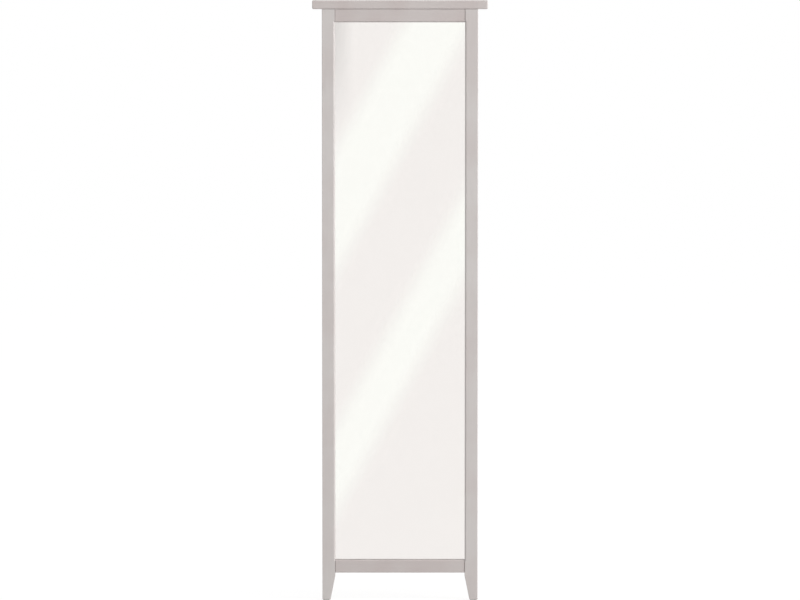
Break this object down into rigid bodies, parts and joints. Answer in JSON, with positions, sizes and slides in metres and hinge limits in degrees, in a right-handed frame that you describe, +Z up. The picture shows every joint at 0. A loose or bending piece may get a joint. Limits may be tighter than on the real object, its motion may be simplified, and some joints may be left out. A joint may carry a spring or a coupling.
{
  "type": "hallway mirror panel",
  "caption": "Tall hallway mirror in a painted wooden frame with tapered feet and an overhanging cap board; stands on the floor and hangs on wall screws by keyhole plates.",
  "frame": {"origin": "middle of the panel's footprint, on the floor", "axes": "+Z up along the panel's height, +Y from the front of the mirror to the wall, +X across the panel to the right as seen from the front"},
  "size_m": [0.553, 0.036, 1.9],
  "materials": {
    "painted_wood": "satin lacquer, warm light grey",
    "clear_glass": "polished float glass",
    "mirror_silver": "silver coat with safety film",
    "foam_tape": "white polyethylene foam",
    "soft_rubber": "dark soft rubber",
    "fibreboard": "raw brown fibreboard",
    "beech": "raw beech",
    "zinc_steel": "bright zinc plating",
    "felt": "pale grey needle felt"
  },
  "bodies": {
    "root": {"left_stile": "painted_wood", "right_stile": "painted_wood", "top_rail": "painted_wood", "bottom_rail": "painted_wood", "cap_board": "painted_wood", "mirror_glass": "clear_glass", "mirror_silver_backing": "mirror_silver", "mounting_tape_1": "foam_tape", "mounting_tape_2": "foam_tape", "mounting_tape_3": "foam_tape", "mounting_tape_4": "foam_tape", "setting_block_left": "soft_rubber", "setting_block_right": "soft_rubber", "back_panel": "fibreboard", "back_screw_01": "zinc_steel", "back_screw_02": "zinc_steel", "back_screw_03": "zinc_steel", "back_screw_04": "zinc_steel", "back_screw_05": "zinc_steel", "back_screw_06": "zinc_steel", "back_screw_07": "zinc_steel", "back_screw_08": "zinc_steel", "back_screw_09": "zinc_steel", "back_screw_10": "zinc_steel", "back_screw_11": "zinc_steel", "back_screw_12": "zinc_steel", "back_screw_13": "zinc_steel", "back_screw_14": "zinc_steel", "rail_dowel_top_left_lower": "beech", "rail_dowel_top_left_upper": "beech", "rail_dowel_top_right_lower": "beech", "rail_dowel_top_right_upper": "beech", "rail_dowel_bottom_left_lower": "beech", "rail_dowel_bottom_left_upper": "beech", "rail_dowel_bottom_right_lower": "beech", "rail_dowel_bottom_right_upper": "beech", "cap_dowel_stile_left": "beech", "cap_dowel_stile_right": "beech", "cap_dowel_rail_left": "beech", "cap_dowel_rail_right": "beech", "hanger_plate_left": "zinc_steel", "hanger_plate_right": "zinc_steel", "hanger_screw_left_lower": "zinc_steel", "hanger_screw_left_upper": "zinc_steel", "hanger_screw_right_lower": "zinc_steel", "hanger_screw_right_upper": "zinc_steel", "foot_pad_left": "felt", "foot_pad_right": "felt"}
  },
  "joints": []
}
